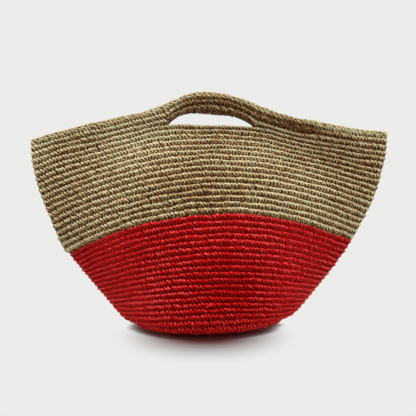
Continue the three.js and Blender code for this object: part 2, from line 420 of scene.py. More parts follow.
def surface(turn, way, lifted):
    """The middle surface of the base and the wall. lifted is true for the rim rounds, which the
    handle lifts."""
    share, side, depth_side = quarter_of(way)
    on_wall = np.maximum(turn, 0)
    x, y, z = even_surface(turn, share, side, depth_side)
    x = x - fold_bulge(on_wall, x)
    y = y + depth_side * over_all(BULGES, -depth_side * x, on_wall)
    y = y + depth_side * rim_flare(on_wall, x, share)
    z = z + x * TILT * smoothstep(z, LAY_HEIGHT, FULL_TILT_HEIGHT)
    z = z + rim_sway(on_wall, x, depth_side)
    z = z - colour_change_drop(on_wall, x) + slit_sway(on_wall, x) + edge_lift(turn, x, depth_side)
    if lifted:
        z = z + handle_lift(turn, x)
        y = y - depth_side * handle_curl(turn, x)
    return np.stack([x, y, z], axis=-1)


def mid_round(turn, way):
    """The surface in the middle of the round that ends at turn."""
    return surface(np.full(np.shape(way), turn - 0.5), way, False)


# How far to each side the surface is looked at to find which way it faces.
STEP_WAY = 0.002
STEP_TURN = 0.02


def place(turn, way, out, lifted):
    """Points that stand out from the surface by out millimetres. Past the rim they go up."""
    point = surface(turn, way, lifted)
    along = surface(turn, way + STEP_WAY, lifted) - surface(turn, way - STEP_WAY, lifted)
    above = surface(np.minimum(turn + STEP_TURN, RIM_ROUND), way, lifted)
    below = surface(np.minimum(turn, RIM_ROUND) - STEP_TURN, way, lifted)
    normal = unit(np.cross(along, above - below))
    point = point + normal * out[..., None]
    point[..., 2] += np.maximum(turn - RIM_ROUND, 0) * ROUND_HEIGHT
    return point


def tube_quads(rings, sides, closed=False):
    """The quads of a tube, and for each corner how far around and along the tube it is. A closed
    tube's last ring is joined to its first."""
    spans = rings if closed else rings - 1
    ring, side = np.divmod(np.arange(spans * sides), sides)
    next_side = (side + 1) % sides
    next_ring = (ring + 1) % rings
    corners = [
        ring * sides + side,
        ring * sides + next_side,
        next_ring * sides + next_side,
        next_ring * sides + side,
    ]
    around = np.stack([side, side + 1, side + 1, side], axis=-1) / sides
    along = np.stack([ring, ring, ring + 1, ring + 1], axis=-1) / spans
    return np.stack(corners, axis=-1), np.stack([around, along], axis=-1)


def tube_caps(rings, sides):
    """The faces at a tube's first and last ring."""
    first = np.arange(sides)[::-1]
    last = (rings - 1) * sides + np.arange(sides)
    return np.stack([first, last])


def along_strand(values, samples):
    """One value for each sample of a strand, between values that are evenly along it."""
    return np.interp(np.linspace(0, 1, samples), np.linspace(0, 1, len(values)), values)


COURSE_STEPS = 12


def smooth_course(course, samples):
    """Samples of a smooth curve through the course's points, evenly along it."""
    padded = np.vstack([2 * course[0] - course[1], course, 2 * course[-1] - course[-2]])
    share = np.linspace(0, 1, COURSE_STEPS, endpoint=False)[:, None]
    fine = []
    for index in range(1, len(padded) - 2):
        previous, start, end, following = padded[index - 1 : index + 3]
        square = (2 * previous - 5 * start + 4 * end - following) * share**2
        cube = (3 * start - previous - 3 * end + following) * share**3
        fine.append(0.5 * (2 * start + (end - previous) * share + square + cube))
    fine = np.vstack(fine + [course[-1:]])
    run = run_along(fine)
    even = np.linspace(0, run[-1], samples)
    return np.stack([np.interp(even, run, fine[:, axis]) for axis in range(3)], axis=1)


OUTWARD = np.array([0.0, 0.0, 1.0])


def flat_tube(centre, angle, half_widths, half_thickness):
    """The rings of a flat tube round a middle line, with its flat side outwards."""
    tangent = unit(np.gradient(centre, axis=0))
    outward = unit(OUTWARD - tangent * tangent[:, 2:])
    across = np.cross(tangent, outward)
    rings = (
        centre[:, None]
        + across[:, None] * np.cos(angle)[None, :, None] * half_widths[:, None, None]
        + outward[:, None] * (np.sin(angle) * half_thickness)[None, :, None]
    )
    return rings.reshape(-1, 3)


# On a piece's map, each strand has a cell with a margin, and a small disc for each of its ends.
# The core has a strip along the top, and its ends have a corner of it.
CELL_MARGIN = 0.06
END_DISC_RADIUS = 0.02
CORE_MAP_SHARE = 0.08
CORE_MAP_MARGIN = 0.1
CORE_END_PLACE = 0.999


def inset(places, margin):
    """Places from 0 to 1, moved together to leave a margin at both ends."""
    return margin + (1 - 2 * margin) * places


def end_discs(angle):
    """Where the rings at a strand's two ends are in its cell."""
    middles = np.array([[0.5, CELL_MARGIN], [0.5, 1 - CELL_MARGIN]])
    disc = np.stack([np.cos(angle), np.sin(angle)], axis=-1) * END_DISC_RADIUS
    return middles[:, None] + disc


def map_cells(stitches, strands, index):
    """The corners of the cells that the strand with this index has, one for each stitch, and the
    size of a cell."""
    columns = math.ceil(math.sqrt(stitches * strands))
    rows = math.ceil(stitches * strands / columns)
    cell = np.arange(stitches) * strands + index
    corners = np.stack([cell % columns, cell // columns], axis=-1)
    return corners[:, None, None], np.array([1 / columns, (1 - CORE_MAP_SHARE) / rows])


class Strand:
    """A strap of yarn in a stitch: its course in stitch widths, height and depth, and its size.
    tones are its darkest and its lightest tone. taper is its width from start to end, and fade how
    much lighter it is painted there: painted highlight and painted shade along the strand."""

    def __init__(
        self,
        course,
        half_width,
        half_thickness,
        tones,
        sides=6,
        samples=6,
        taper=(0.7, 1, 0.7),
        fade=(0, 0),
    ):
        course = np.array(course, float)
        course[:, 0] *= STITCH_WIDTH
        centre = smooth_course(course, samples)
        angle = 2 * np.pi * np.arange(sides) / sides
        half_widths = half_width * along_strand(taper, samples)
        self.sides = sides
        self.tones = tones
        self.fade = np.repeat(along_strand(fade, samples), sides)
        self.points = flat_tube(centre, angle, half_widths, half_thickness)
        self.run = np.repeat(run_along(centre), sides)
        self.around = np.tile(np.cos(angle), samples)
        self.quads, places = tube_quads(samples, sides)
        self.quad_places = inset(places, CELL_MARGIN)
        self.caps = tube_caps(samples, sides)
        self.cap_places = end_discs(angle)


# Tones run from 0, the yarn's darkest, to 1, its lightest. The low tones of the strands down in
# the groove are painted shade.
LIGHT = (0.62, 0.86)
MIDDLE_GROOVE_SHADE = (0.1, 0.4)
DARK_GROOVE_SHADE = (0.0, 0.25)

# A light strand crosses the crest of the round, lighter at its top as a painted highlight and
# darker below as painted shade, and two darker legs, in painted shade, go down into the groove.
CREST_COURSE = [
    (-0.28, 8.4, 1.4),
    (-0.05, 8.0, 3.2),
    (0.25, 7.3, 4.5),
    (0.55, 6.1, 4.2),
    (0.82, 4.8, 3.0),
    (0.96, 3.8, 1.7),
]
CREST_TAPER = (0.8, 1, 0.95, 0.75, 0.45)
CREST_HIGHLIGHT_AND_SHADE = (0.05, 0.15, 0.08, -0.08, -0.22, -0.32)
CREST = Strand(CREST_COURSE, 1.35, 0.8, LIGHT, samples=7, taper=CREST_TAPER, fade=CREST_HIGHLIGHT_AND_SHADE)
LEG_LEFT_COURSE = [(0.0, 5.0, 3.1), (0.08, 2.9, 2.8), (0.16, -0.1, 1.1)]
LEG_LEFT = Strand(LEG_LEFT_COURSE, 0.8, 0.6, DARK_GROOVE_SHADE, sides=5, samples=4)
LEG_RIGHT_COURSE = [(0.5, 4.7, 3.0), (0.58, 2.5, 2.6), (0.66, -0.4, 0.9)]
LEG_RIGHT = Strand(LEG_RIGHT_COURSE, 0.8, 0.6, MIDDLE_GROOVE_SHADE, sides=5, samples=4)
INNER_LOW_COURSE = [(-0.1, 2.2, -2.3), (0.5, 2.9, -3.4), (1.1, 2.2, -2.3)]
INNER_LOW = Strand(INNER_LOW_COURSE, 1.1, 0.7, DARK_GROOVE_SHADE, sides=5, samples=3)
INNER_HIGH_COURSE = [(-0.1, 5.8, -2.2), (0.5, 6.4, -3.2), (1.1, 5.8, -2.2)]
INNER_HIGH = Strand(INNER_HIGH_COURSE, 1.1, 0.7, LIGHT, sides=5, samples=3)

# The last round ends in a chain of longer loops, each a V that lies on its side.
CHAIN_LOW_COURSE = [(-0.1, 7.9, 3.0), (0.2, 6.9, 4.4), (0.6, 5.7, 4.7), (1.05, 5.2, 3.8)]
CHAIN_LOW = Strand(CHAIN_LOW_COURSE, 0.75, 0.7, LIGHT)
CHAIN_HIGH_COURSE = [(-0.1, 7.9, 3.0), (0.2, 8.6, 3.9), (0.6, 9.4, 3.4), (1.05, 9.7, 2.2)]
CHAIN_HIGH = Strand(CHAIN_HIGH_COURSE, 0.75, 0.7, LIGHT)
CHAIN_REAR_COURSE = [(-0.2, 8.9, 0.2), (0.4, 8.6, -2.0), (1.0, 7.6, -3.2)]
CHAIN_REAR = Strand(CHAIN_REAR_COURSE, 1.2, 0.8, LIGHT)
CHAIN_LENGTH = 1.45
RIM_POST_COURSE = [(-0.2, 7.2, 2.8), (0.1, 5.8, 3.8), (0.5, 3.8, 3.4), (0.85, 1.8, 1.8)]
RIM_POST = Strand(RIM_POST_COURSE, 1.15, 0.6, (0.4, 0.75))

# The handle's first round turns under: a thin light ridge over a knobbly edge whose dark tones are
# painted shade.
RIDGE_COURSE = [
    (-0.28, 8.3, 1.6),
    (-0.05, 8.0, 3.2),
    (0.35, 7.2, 4.0),
    (0.75, 6.2, 3.6),
    (0.98, 5.4, 2.2),
]
RIDGE = Strand(RIDGE_COURSE, 1.0, 0.7, (0.35, 0.65))
UNDER_LEFT_COURSE = [(-0.1, 5.9, 2.8), (0.05, 4.2, 3.6), (0.2, 1.6, 3.4), (0.3, -1.7, 1.6)]
UNDER_LEFT = Strand(UNDER_LEFT_COURSE, 1.1, 0.8, (0.0, 0.2), sides=5, samples=5)
UNDER_RIGHT_COURSE = [(0.4, 5.5, 2.8), (0.5, 3.8, 3.3), (0.65, 1.2, 2.9), (0.75, -0.6, 0.8)]
UNDER_RIGHT = Strand(UNDER_RIGHT_COURSE, 1.1, 0.7, (0.0, 0.35), sides=5, samples=5)

# The end of a yarn, which shows low on the front.
YARN_END_COURSE = [(-0.9, 2.2, 4.2), (-0.2, 4.6, 5.6), (0.6, 6.2, 5.6), (1.5, 5.4, 4.4)]
YARN_END = Strand(YARN_END_COURSE, 1.1, 0.8, LIGHT)
YARN_END_ROUND = 5

WALL_STRANDS = (CREST, LEG_LEFT, LEG_RIGHT, INNER_LOW, INNER_HIGH)
RIM_STRANDS = (RIM_POST, LEG_LEFT, LEG_RIGHT, INNER_LOW, INNER_HIGH)
UNDER_STRANDS = (RIDGE, UNDER_LEFT, UNDER_RIGHT, INNER_LOW, INNER_HIGH)
CHAIN_STRANDS = (CHAIN_LOW, CHAIN_HIGH, CHAIN_REAR)


class Wave:
    """A smooth wave round the bag, for unevenness along a round. It is a sum of sine waves that
    each swing lowest or more and fewer than highest times."""

    def __init__(self, random, size, lowest, highest, count=9):
        self.counts = random.integers(lowest, highest, count)
        self.phases = random.uniform(0, 2 * np.pi, count)
        self.size = size / math.sqrt(count / 2)

    def at(self, way):
        angle = np.asarray(way)[..., None] * (2 * np.pi / WHOLE_WAY) * self.counts + self.phases
        return self.size * np.sin(angle).sum(axis=-1)


# How far each seam strays up and down and each round in and out, in millimetres, and how each
# round's tone wanders.
wave_random = np.random.default_rng(SEED)
TURNS = range(-BASE_ROUNDS, RIM_ROUND + 1)
SEAM_WAVES = {turn: Wave(wave_random, size=0.38, lowest=2, highest=20) for turn in TURNS}
DEPTH_WAVES = {turn: Wave(wave_random, size=0.1, lowest=2, highest=12) for turn in TURNS}
TONE_WAVES = {turn: Wave(wave_random, size=0.02, lowest=2, highest=30) for turn in TURNS}


def rise_at(turn, height, way):
    """How far a round's points stray up or down, between the waves of its two seams."""
    share = height / ROUND_HEIGHT
    return SEAM_WAVES[turn - 1].at(way) * (1 - share) + SEAM_WAVES[turn].at(way) * share


# The rim's flat band, darkened with painted shade, starts and ends in these ranges, in
# millimetres to the right.
BAND_RANGE = (-50, -30)
BAND_END_RANGE = (110, 180)
BAND_FLATNESS = 0.35
BAND_PAINTED_SHADE = 0.36


def rim_band(turn, way):
    """1 where the rim is worked flat and has painted shade: over the slits and some way to the
    right.
    """
    x = mid_round(turn, way)[..., 0]
    return smoothstep(x, *BAND_RANGE) * fall(x, *BAND_END_RANGE) * (turn > SLIT_ROUND + 1)


def from_fold(way):
    """How far round the bag the nearest side fold is, up to 1 in the middle of a face."""
    return np.abs(np.mod(way, WHOLE_WAY / 2) - 1)


# Beside the side folds, by from_fold, the stitches are flatter and the red's tones, with their
# painted light and shade, are calmer.
SIDE_RANGE = (0, 0.25)
SIDE_END_RANGE = (0.35, 0.75)
SIDE_FLATNESS = 0.25
RED_SIDE_FLATNESS = 0.56
RED_CALM = 0.5
CALM_TONE = 0.5
CALM_ROUNDS = 5


def side_share(way):
    """1 on the wall beside the side folds, 0 at the folds and in the middle of the bag."""
    return smoothstep(from_fold(way), *SIDE_RANGE) * fall(from_fold(way), *SIDE_END_RANGE)


def calmed(tone, turn, way):
    """The red yarn's tones, nearer to each other beside the side folds and near the base, which
    weakens their painted light and shade there.
    """
    near_base = fall(turn, 0, CALM_ROUNDS)
    calm = RED_CALM * np.maximum(side_share(way), near_base) * (turn <= RED_ROUNDS)
    return tone + (CALM_TONE - tone) * calm


FOLD_FLATNESS = 0.35
FOLD_SHARE = 0.14
LYING_RELIEF = 0.52
LYING_TURN = -4


def relief(turn, way, band):
    """How much of their full depth the stitches have: less in the rim band, round the side folds,
    and where the base lies on the floor."""
    fold = fall(from_fold(way), 0, FOLD_SHARE)
    base = float(np.interp(turn, [LYING_TURN, 0], [LYING_RELIEF, 1.0]))
    side_flatness = RED_SIDE_FLATNESS if turn <= RED_ROUNDS else SIDE_FLATNESS
    flat = FOLD_FLATNESS * fold + side_flatness * side_share(way)
    return base * (1 - BAND_FLATNESS * band) * (1 - flat * (turn > 0))


def shade(turn, way):
    """How much lighter the yarn is painted here than elsewhere: painted light and shade, and a
    small wander of each round's tone. The rear is shaded as the front is, seen from behind."""
    point = mid_round(turn, way)
    x = np.where(point[..., 1] < 0, point[..., 0], -point[..., 0])
    return over_all(PAINTED_LIGHT_AND_SHADE, x, turn) + TONE_WAVES[turn].at(way)


# How far stitches stray from their places, and a strand from its stitch, in millimetres, and by
# what share they lean and swell. Each is a standard deviation.
STRAY_ALONG = 0.28
STRAY_UP = 0.22
STRAY_OUT = 0.16
STRAND_STRAY = 0.12
STITCH_LEAN = 0.06
STITCH_SWELL = 0.07
LEAST_TONE = 0.02


class Stitches:
    """The stitches with these numbers, of the round that ends at turn, each a little different."""

    def __init__(self, turn, numbers, per_turn, random, phase):
        self.turn = turn
        self.numbers = numbers[:, None]
        self.per_turn = per_turn
        self.random = random
        self.phase = phase
        self.stray_along = random.normal(0, STRAY_ALONG, self.numbers.shape)
        self.stray_up = random.normal(0, STRAY_UP, self.numbers.shape)
        self.stray_out = random.normal(0, STRAY_OUT, self.numbers.shape)
        self.lean = random.normal(0, STITCH_LEAN, self.numbers.shape)
        self.swell = random.normal(1, STITCH_SWELL, self.numbers.shape)

    def lay(self, strand):
        """One strand of every stitch: its points, their ways, and how far they are in the band."""
        along, up, out = strand.points.T
        stray = self.random.normal(0, STRAND_STRAY, self.numbers.shape)
        along = along + self.stray_along + self.lean * (up - ROUND_HEIGHT / 2) + stray
        height = up + self.stray_up
        depth = out * self.swell + self.stray_out
        way = WHOLE_WAY * (self.numbers + self.phase + along / STITCH_WIDTH) / self.per_turn
        at_turn = self.turn - 1 + (height + rise_at(self.turn, height, way)) / ROUND_HEIGHT
        band = rim_band(self.turn, way) * (strand not in CHAIN_STRANDS)
        wave = DEPTH_WAVES[self.turn].at(way) * np.sign(depth) * (self.turn > 0)
        out = depth * relief(self.turn, way, band) + wave
        return place(at_turn, way, out, self.turn > SLIT_ROUND), way, band

    def tone(self, strand, way, band):
        """The tones of one strand's points in every stitch, from the way and band of a stitch."""
        # Painted light and shade: the strand's painted highlight and shade along it, the wall's
        # painted shading, and the rim band's painted shade.
        tone = self.random.uniform(*strand.tones, self.numbers.shape) + strand.fade
        tone = tone + shade(self.turn, way) - BAND_PAINTED_SHADE * band
        return np.maximum(calmed(tone, self.turn, way), LEAST_TONE)


def fill(collection, name, values, kind):
    """Sets one property of every item in one of a mesh's collections."""
    collection.foreach_set(name, values.astype(kind).ravel())


class Crochet:
    """Collects the strands of one piece and makes its mesh."""

    def __init__(self):
        self.count = 0
        self.points = []
        self.loops = []
        self.sizes = []
        self.maps = []
        self.strand = []

    def add(self, points, faces, face_maps, strand):
        """faces is a list of index arrays, each with one size of face. strand has three numbers
        for each point: how far along the strand it is, how far to its side, and its tone."""
        for face, places in zip(faces, face_maps):
            self.loops.append((face + self.count).ravel())
            self.sizes.append(np.full(len(face), face.shape[1]))
            self.maps.append(places.reshape(-1, 2))
        self.points.append(points.reshape(-1, 3))
        self.strand.append(strand.reshape(-1, 3))
        self.count += points.size // 3

    def mesh(self, name):
        points = np.concatenate(self.points) * MM
        loops = np.concatenate(self.loops)
        sizes = np.concatenate(self.sizes)
        mesh = bpy.data.meshes.new(name)
        mesh.vertices.add(len(points))
        fill(mesh.vertices, "co", points, np.float32)
        mesh.loops.add(len(loops))
        fill(mesh.loops, "vertex_index", loops, np.int32)
        mesh.polygons.add(len(sizes))
        fill(mesh.polygons, "loop_start", np.cumsum(sizes) - sizes, np.int32)
        fill(mesh.polygons, "loop_total", sizes, np.int32)
        bake_map = mesh.uv_layers.new(name="OFBake")
        fill(bake_map.data, "uv", np.concatenate(self.maps), np.float32)
        strand = mesh.attributes.new("strand", "FLOAT_VECTOR", "POINT")
        fill(strand.data, "vector", np.concatenate(self.strand), np.float32)
        mesh.update(calc_edges=True)
        mesh.shade_smooth()
        return mesh


def add_stitches(crochet, turn, numbers, per_turn, strands, random, phase):
    """The stitches with these numbers, of the round that ends at turn."""
    stitches = Stitches(turn, numbers, per_turn, random, phase)
    for index, strand in enumerate(strands):
        points, way, band = stitches.lay(strand)
        tone = stitches.tone(strand, way[:, :1], band[:, :1])
        look = np.stack(np.broadcast_arrays(strand.run, strand.around, tone), axis=-1)
        first_point = np.arange(len(numbers))[:, None, None] * len(strand.points)
        quads = (first_point + strand.quads).reshape(-1, 4)
        caps = (first_point + strand.caps).reshape(-1, strand.sides)
        corners, size = map_cells(len(numbers), len(strands), index)
        maps = [(corners + strand.quad_places) * size, (corners + strand.cap_places) * size]
        crochet.add(points, [quads, caps], maps, look)


CORE_SIDES = 10
CORE_HALF_HEIGHT = 4.4
CORE_HALF_DEPTH = 2.2
CORE_TONE = -1


def add_core(crochet, turn, start, end, columns):
    """The core that the stitches cover, a cord along the round from one way to another."""
    angle = 2 * np.pi * np.arange(CORE_SIDES) / CORE_SIDES
    up = ROUND_HEIGHT / 2 + CORE_HALF_HEIGHT * np.sin(angle)
    way, height = np.meshgrid(np.linspace(start, end, columns + 1), up, indexing="ij")
    out = CORE_HALF_DEPTH * np.cos(angle) * relief(turn, way, rim_band(turn, way))
    at_turn = turn - 1 + (height + rise_at(turn, height, way)) / ROUND_HEIGHT
    closed = end - start == WHOLE_WAY
    rings = columns if closed else columns + 1
    points = place(at_turn, way, out, turn > SLIT_ROUND)[:rings]
    quads, places = tube_quads(rings, CORE_SIDES, closed)
    across = 1 - CORE_MAP_SHARE + CORE_MAP_SHARE * inset(places[..., 0], CORE_MAP_MARGIN)
    faces = [quads]
    maps = [np.stack([places[..., 1], across], axis=-1)]
    if not closed:
        faces.append(tube_caps(rings, CORE_SIDES))
        maps.append(np.full((2, CORE_SIDES, 2), CORE_END_PLACE))
    look = np.zeros(points.shape)
    look[..., 0] = np.arange(rings)[:, None] * STITCH_WIDTH
    look[..., 2] = CORE_TONE
    crochet.add(points, faces, maps, look)


ROUND_SAMPLES = 160
LEAST_STITCHES = 6


def stitches_in_round(turn):
    """How many stitches a round has."""
    points = mid_round(turn, np.linspace(0, WHOLE_WAY, ROUND_SAMPLES + 1))
    return max(LEAST_STITCHES, round(steps_along(points).sum() / STITCH_WIDTH))


def add_whole_round(crochet, turn, strands, random):
    """A round's stitches and its core, all round the bag."""
    per_turn = stitches_in_round(turn)
    phase = random.uniform(0, 1)
    add_stitches(crochet, turn, np.arange(per_turn), per_turn, strands, random, phase)
    add_core(crochet, turn, 0, WHOLE_WAY, per_turn)


def add_span(crochet, turn, start, end, per_turn, strands, random, phase):
    """The stitches whose middles lie between two ways round the bag."""
    numbers = np.arange(-per_turn, 2 * per_turn)
    middle = WHOLE_WAY * (numbers + phase + 0.5) / per_turn
    chosen = numbers[(middle >= start) & (middle < end)]
    add_stitches(crochet, turn, chosen, per_turn, strands, random, phase)


def rim_strands(turn, on_handle):
    """The strands of a rim round's stitches, without its chain."""
    if turn == RIM_ROUND:
        return RIM_STRANDS
    return UNDER_STRANDS if on_handle and turn == SLIT_ROUND + 1 else WALL_STRANDS


def rim_span(turn, start, end, on_handle):
    """The part of a rim round between two ways round the bag."""
    random = np.random.default_rng(RIM_SEED + turn)
    per_turn = stitches_in_round(turn)
    phase = random.uniform(0, 1)
    crochet = Crochet()
    strands = rim_strands(turn, on_handle)
    add_span(crochet, turn, start, end, per_turn, strands, random, phase)
    if turn == RIM_ROUND:
        loops_per_turn = round(per_turn / CHAIN_LENGTH)
        add_span(crochet, turn, start, end, loops_per_turn, CHAIN_STRANDS, random, phase)
    columns = max(2, round((end - start) / WHOLE_WAY * per_turn))
    add_core(crochet, turn, start, end, columns)
    return crochet


OPENNESS_SAMPLES = 16


class Tree:
    """Adds nodes to a material's or the world's node tree, and joins them."""

    def __init__(self, owner):
        owner.use_nodes = True
        self.nodes = owner.node_tree.nodes
        self.links = owner.node_tree.links

    def feed(self, socket, value):
        """value is a number, a colour, or the output of another node."""
        if isinstance(value, bpy.types.NodeSocket):
            self.links.new(value, socket)
        else:
            socket.default_value = value

    def add(self, kind, inputs, **settings):
        """A node with these settings. inputs maps socket names or numbers to values."""
        node = self.nodes.new(kind)
        for name, value in settings.items():
            setattr(node, name, value)
        for socket, value in inputs.items():
            self.feed(node.inputs[socket], value)
        return node

    def calculate(self, operation, *values):
        """A number worked out from others."""
        node = self.add("ShaderNodeMath", dict(enumerate(values)), operation=operation)
        return node.outputs[0]

    def calculate_vector(self, operation, *values):
        """A vector or a colour worked out from others."""
        node = self.add("ShaderNodeVectorMath", dict(enumerate(values)), operation=operation)
        return node.outputs[0]

    def scale(self, vector, factor):
        """A vector or a colour, longer or brighter by a factor."""
        inputs = {0: vector, "Scale": factor}
        return self.add("ShaderNodeVectorMath", inputs, operation="SCALE").outputs[0]

    def mix_colours(self, factor, first, second):
        """The first colour where the factor is 0, the second where it is 1."""
        inputs = {"Factor": factor, "A": first, "B": second}
        return self.add("ShaderNodeMix", inputs, data_type="RGBA").outputs["Result"]

    def noise(self, place_in, scale, detail, roughness):
        """Smooth noise from 0 to 1, most of it near 0.5."""
        inputs = {"Vector": place_in, "Scale": scale, "Detail": detail, "Roughness": roughness}
        return self.add("ShaderNodeTexNoise", inputs).outputs["Fac"]

    def map_range(self, value, old, new=(0, 1), steepness="LINEAR"):
        """A number moved from the old range to the new one, and kept inside it."""
        inputs = {"Value": value, "From Min": old[0], "From Max": old[1]}
        inputs.update({"To Min": new[0], "To Max": new[1]})
        node = self.add("ShaderNodeMapRange", inputs, interpolation_type=steepness)
        return node.outputs["Result"]

    def openness(self, reach):
        """1 where nothing stands within reach millimetres, less the more the bag covers a place."""
        inputs = {"Distance": reach * MM}
        node = self.add("ShaderNodeAmbientOcclusion", inputs, samples=OPENNESS_SAMPLES)
        return node.outputs["AO"]

    def place_on_object(self):
        return self.nodes.new("ShaderNodeTexCoord").outputs["Object"]

    def seen_directly(self):
        """1 for a ray from the camera, else 0."""
        return self.nodes.new("ShaderNodeLightPath").outputs["Is Camera Ray"]


def srgb(red, green, blue):
    """A colour given as it looks on a screen, 0 to 255, in Blender's linear numbers."""
    shares = [value / 255 for value in (red, green, blue)]
    return tuple(s / 12.92 if s <= 0.04045 else ((s + 0.055) / 1.055) ** 2.4 for s in shares)


PATCH_SCALE = 660.0
PATCH_SHARE = 3.0
PATCH_DETAIL = 2.0
PATCH_ROUGHNESS = 0.6


def tone_colour(tree, tone, tones):
    """The yarn's colour: the strand's own tone, shifted by small patches in the yarn."""
    patches = tree.noise(tree.place_on_object(), PATCH_SCALE, PATCH_DETAIL, PATCH_ROUGHNESS)
    shifted = tree.calculate("MULTIPLY_ADD", patches, PATCH_SHARE, tone)
    centred = tree.calculate("SUBTRACT", shifted, PATCH_SHARE / 2)
    ramp = tree.add("ShaderNodeValToRGB", {"Fac": centred})
    elements = ramp.color_ramp.elements
    first_elements = len(elements)
    for index, (position, colour) in enumerate(tones):
        element = elements[index] if index < first_elements else elements.new(position)
        element.position = position
        element.color = (*colour, 1)
    return ramp.outputs["Color"]


# How fast the noise of the fibres changes along a strand, and from tone to tone.
FIBRE_CHANGE_ALONG = 0.16
FIBRE_CHANGE_BY_TONE = 6.0
FIBRE_SCALE = 4.0
FIBRE_DETAIL = 3.0
FIBRE_ROUGHNESS = 0.65


def fibre_pattern(tree, run, around, tone):
    """Noise that is long along the strand and fine across it, as the fibres of raffia are."""
    along = tree.calculate("MULTIPLY", run, FIBRE_CHANGE_ALONG)
    apart = tree.calculate("MULTIPLY", tone, FIBRE_CHANGE_BY_TONE)
    place_in = tree.add("ShaderNodeCombineXYZ", {"X": around, "Y": along, "Z": apart})
    return tree.noise(place_in.outputs[0], FIBRE_SCALE, FIBRE_DETAIL, FIBRE_ROUGHNESS)


# The patches of hue lie elsewhere than the patches of tone.
HUE_OFFSET = (0.3, 0.1, 0.2)
HUE_SCALE = 430.0
HUE_DETAIL = 1.0
HUE_ROUGHNESS = 0.5
RUST_AND_OLIVE = ((1.4, 0.77, 0.66), (0.62, 1.22, 1.33))
CRIMSON_AND_SCARLET = ((1.05, 0.75, 0.75), (0.95, 1.25, 1.15))


def hue_shift(tree, hues):
    """A tint that changes in small patches between two hues."""
    place_in = tree.calculate_vector("ADD", tree.place_on_object(), HUE_OFFSET)
    patches = tree.noise(place_in, HUE_SCALE, HUE_DETAIL, HUE_ROUGHNESS)
    return tree.mix_colours(patches, (*hues[0], 1), (*hues[1], 1))


# How bright and how raised the fibres are, from where their noise is low to where it is high.
FIBRE_NOISE = (0.3, 0.7)
FIBRE_BRIGHTNESS = (0.7, 1.15)
FIBRE_RELIEF = 0.5
FIBRE_DEPTH = 0.3
YARN_SPECULAR = 0.05


def raffia(name, tones, core_shade_colour, roughness, hues):
    """Raffia yarn: flat fibres along the strand, with tones that change from strand to strand."""
    material = bpy.data.materials.new(name)
    tree = Tree(material)
    strand = tree.add("ShaderNodeAttribute", {}, attribute_name="strand").outputs["Vector"]
    run, around, tone = tree.add("ShaderNodeSeparateXYZ", {0: strand}).outputs
    fibres = fibre_pattern(tree, run, around, tone)
    brightness = tree.map_range(fibres, FIBRE_NOISE, FIBRE_BRIGHTNESS)
    yarn = tree.scale(tone_colour(tree, tone, tones), brightness)
    tinted = tree.calculate_vector("MULTIPLY", yarn, hue_shift(tree, hues))
    is_core = tree.calculate("LESS_THAN", tone, CORE_TONE / 2)
    bump = {"Strength": FIBRE_RELIEF, "Distance": FIBRE_DEPTH * MM, "Height": fibres}
    shader = tree.nodes["Principled BSDF"]
    # The core's very dark colour is painted shade deep in the grooves.
    tree.feed(shader.inputs["Base Color"], tree.mix_colours(is_core, tinted, (*core_shade_colour, 1)))
    tree.feed(shader.inputs["Normal"], tree.add("ShaderNodeBump", bump).outputs[0])
    tree.feed(shader.inputs["Roughness"], roughness)
    tree.feed(shader.inputs["Specular IOR Level"], YARN_SPECULAR)
    return material


natural = raffia(
    "natural_raffia",
    tones=[
        (0.0, srgb(66, 38, 12)),
        (0.22, srgb(126, 84, 44)),
        (0.42, srgb(173, 134, 87)),
        (0.55, srgb(184, 158, 107)),
        (0.74, srgb(199, 183, 135)),
        (1.0, srgb(218, 211, 173)),
    ],
    core_shade_colour=srgb(44, 26, 9),
    roughness=0.5,
    hues=RUST_AND_OLIVE,
)
red = raffia(
    "red_raffia",
    tones=[
        (0.0, srgb(124, 2, 1)),
        (0.2, srgb(158, 4, 2)),
        (0.45, srgb(184, 7, 4)),
        (0.7, srgb(203, 14, 10)),
        (0.93, srgb(214, 20, 16)),
        # The pink lightest tone is a painted highlight, the sheen on the crests.
        (1.0, srgb(234, 90, 94)),
    ],
    core_shade_colour=srgb(48, 1, 1),
    roughness=0.32,
    hues=CRIMSON_AND_SCARLET,
)


def make_piece(name, crochet, material, body, nodes):
    """A visible piece instead of these CAD nodes, attached to its body if it has one."""
    piece = bpy.data.objects.new(name, crochet.mesh(name))
    bpy.context.scene.collection.objects.link(piece)
    piece.data.materials.append(material)
    if body:
        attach(piece, body)
    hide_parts(*nodes)
    return piece


def make_base():
    """All rounds of the base, as one piece."""
    random = np.random.default_rng(SEED)
    crochet = Crochet()
    for turn in range(-BASE_ROUNDS + 1, 1):
        add_whole_round(crochet, turn, WALL_STRANDS, random)
    make_piece("base_crochet", crochet, red, "bag", ["base_disc"])


def make_wall_round(turn, colour, number, material):
    """A round of the wall, with this number among the rounds of its colour."""
    random = np.random.default_rng(WALL_SEED + turn)
    crochet = Crochet()
    add_whole_round(crochet, turn, WALL_STRANDS, random)
    if turn == YARN_END_ROUND:
        per_turn = stitches_in_round(turn)
        add_stitches(crochet, turn, np.array([0]), per_turn, (YARN_END,), random, 0)
    name = f"{colour}_crochet_{number:02d}"
    node = f"{colour}_round_{number:02d}"
    make_piece(name, crochet, material, "bag", [node])


FACE_SAMPLES = 400


def way_at(turn, x, face):
    """Where round the bag the surface has this x, on the front or the rear face."""
    share = np.linspace(0, 1, FACE_SAMPLES)
    run_x = surface(np.full(share.shape, float(turn)), share, False)[:, 0]
    at = float(np.interp(abs(x), run_x, share))
    onwards = (x > 0) == (face == FRONT)
    return face + at if onwards else face - at


def make_rim_side(number, side, start, end):
    """The stretch of a rim round that wraps one side fold."""
    crochet = rim_span(SLIT_ROUND + number, start, end, False)
    name = f"{side}_rim_crochet_{number}"
    node = f"{side}_rim_round_{number}"
    make_piece(name, crochet, natural, "bag", [node])


